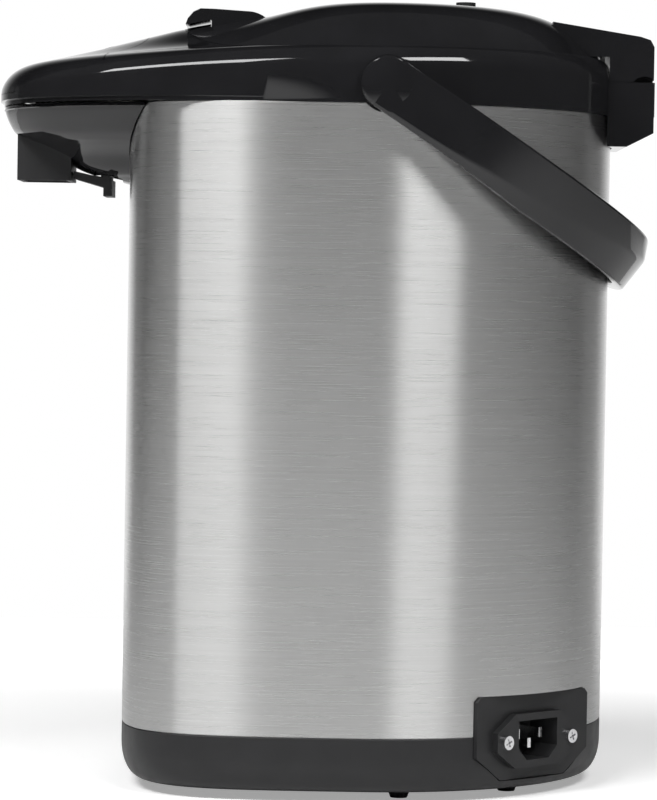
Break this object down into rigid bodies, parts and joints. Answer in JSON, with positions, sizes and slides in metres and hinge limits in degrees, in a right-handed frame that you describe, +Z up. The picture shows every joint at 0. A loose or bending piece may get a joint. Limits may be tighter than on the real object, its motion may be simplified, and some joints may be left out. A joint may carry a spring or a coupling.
{
  "type": "electric thermo pot",
  "caption": "Electric thermo pot with a steel body, black nose with spout and cup lever, hinged pump lid, bail handle and mains inlet.",
  "frame": {"origin": "on the table under the body's axis, at the centre of the circle of feet", "axes": "+Z up, -Y towards the spout, +X to the side seen in the picture"},
  "size_m": [0.228, 0.2799, 0.3348],
  "materials": {
    "gloss_black": "gloss",
    "satin_black": "satin",
    "dark_matte": "matte",
    "brushed_steel": "brushed",
    "tank_steel": "satin",
    "fastener_steel": "bright",
    "rubber": "matte",
    "clear": "clear",
    "board": "satin",
    "white_plastic": "satin"
  },
  "bodies": {
    "root": {"outer_shell": "brushed_steel", "support_ring": "satin_black", "base_housing": "satin_black", "base_plate": "satin_black", "rubber_feet": "rubber", "base_screws": "fastener_steel", "inlet_panel": "satin_black", "power_inlet": "satin_black", "inlet_pins": "fastener_steel", "inlet_screws": "fastener_steel", "upper_housing": "gloss_black", "nose_cover": "gloss_black", "control_panel": "gloss_black", "indicator_lenses": "clear", "control_board": "board", "spout_nozzle": "dark_matte", "spout_tube": "white_plastic", "level_tube": "clear", "gauge_window": "clear", "gauge_bezel": "gloss_black", "cup_lever_pin": "fastener_steel", "cup_switch": "satin_black", "inner_tank": "tank_steel", "tank_collar": "rubber", "heater_plate": "tank_steel", "thermostats": "white_plastic", "tank_bracket": "tank_steel", "bracket_bolts": "fastener_steel", "pump_body": "white_plastic", "pump_motor": "tank_steel", "inlet_hose": "white_plastic", "outlet_elbow": "white_plastic", "power_board": "board", "handle_pivot_bosses": "gloss_black", "handle_pivot_pins": "fastener_steel", "hinge_bracket": "gloss_black", "hinge_lower_cover": "gloss_black", "hinge_pin": "fastener_steel"},
    "lid": {"lid_shell": "gloss_black", "lid_hinge_cover": "gloss_black", "lid_inner_plate": "tank_steel", "lid_gasket": "rubber", "lid_screws": "fastener_steel", "lid_valve": "white_plastic", "latch_lever_pin": "fastener_steel", "pump_bellows": "rubber", "pump_spring": "fastener_steel", "latch_spring": "fastener_steel"},
    "handle": {"handle": "gloss_black"},
    "pump_cap": {"pump_cap": "gloss_black"},
    "pump_lock": {"pump_lock": "satin_black"},
    "latch_lever": {"latch_lever": "gloss_black"},
    "latch_bolt": {"latch_bolt": "satin_black"},
    "cup_lever": {"cup_lever": "dark_matte"},
    "dispense_button": {"dispense_button": "satin_black"},
    "reboil_button": {"reboil_button": "satin_black"},
    "pump_impeller": {"pump_impeller": "satin_black"}
  },
  "joints": [
    {"name": "handle_swing", "type": "hinge", "parent": "root", "child": "handle", "pos_m": [0, 0.0059, 0.293], "axis": [1, 0, 0], "range_deg": [0, 188]},
    {"name": "lid_hinge", "type": "hinge", "parent": "root", "child": "lid", "pos_m": [0, 0.1163, 0.2967], "axis": [-1, 0, 0], "range_deg": [0, 80]},
    {"name": "latch_lift", "type": "hinge", "parent": "lid", "child": "latch_lever", "pos_m": [0, -0.0536, 0.3148], "axis": [-1, 0, 0], "range_deg": [0, 20], "stiffness_Nm_per_rad": 0.05, "springref_deg": -17.19},
    {"name": "latch_slide", "type": "slide", "parent": "lid", "child": "latch_bolt", "axis": [0, 1, 0], "range_m": [0, 0.0035]},
    {"name": "pump_press", "type": "slide", "parent": "lid", "child": "pump_cap", "axis": [0, 0, -1], "range_m": [0, 0.015], "stiffness_N_per_m": 400, "springref_m": -0.005, "deforming": ["pump_bellows", "pump_spring"]},
    {"name": "pump_lock_slide", "type": "slide", "parent": "lid", "child": "pump_lock", "axis": [1, 0, 0], "range_m": [0, 0.008]},
    {"name": "cup_lever_push", "type": "hinge", "parent": "root", "child": "cup_lever", "pos_m": [0, -0.1134, 0.259], "axis": [1, 0, 0], "range_deg": [0, 8], "stiffness_Nm_per_rad": 0.05, "springref_deg": -11.46},
    {"name": "dispense_press", "type": "slide", "parent": "root", "child": "dispense_button", "axis": [0, 0.2504, -0.9681], "range_m": [0, 0.0015], "stiffness_N_per_m": 500, "springref_m": -0.001},
    {"name": "reboil_press", "type": "slide", "parent": "root", "child": "reboil_button", "axis": [0, 0.2504, -0.9681], "range_m": [0, 0.0015], "stiffness_N_per_m": 500, "springref_m": -0.001},
    {"name": "impeller_spin", "type": "hinge", "parent": "root", "child": "pump_impeller", "pos_m": [0, -0.056, 0.038], "axis": [0, 0, 1], "continuous": true}
  ],
  "couplings": [
    {"joint": "latch_slide", "follows": "latch_lift", "m_per_rad": 0.010027}
  ]
}
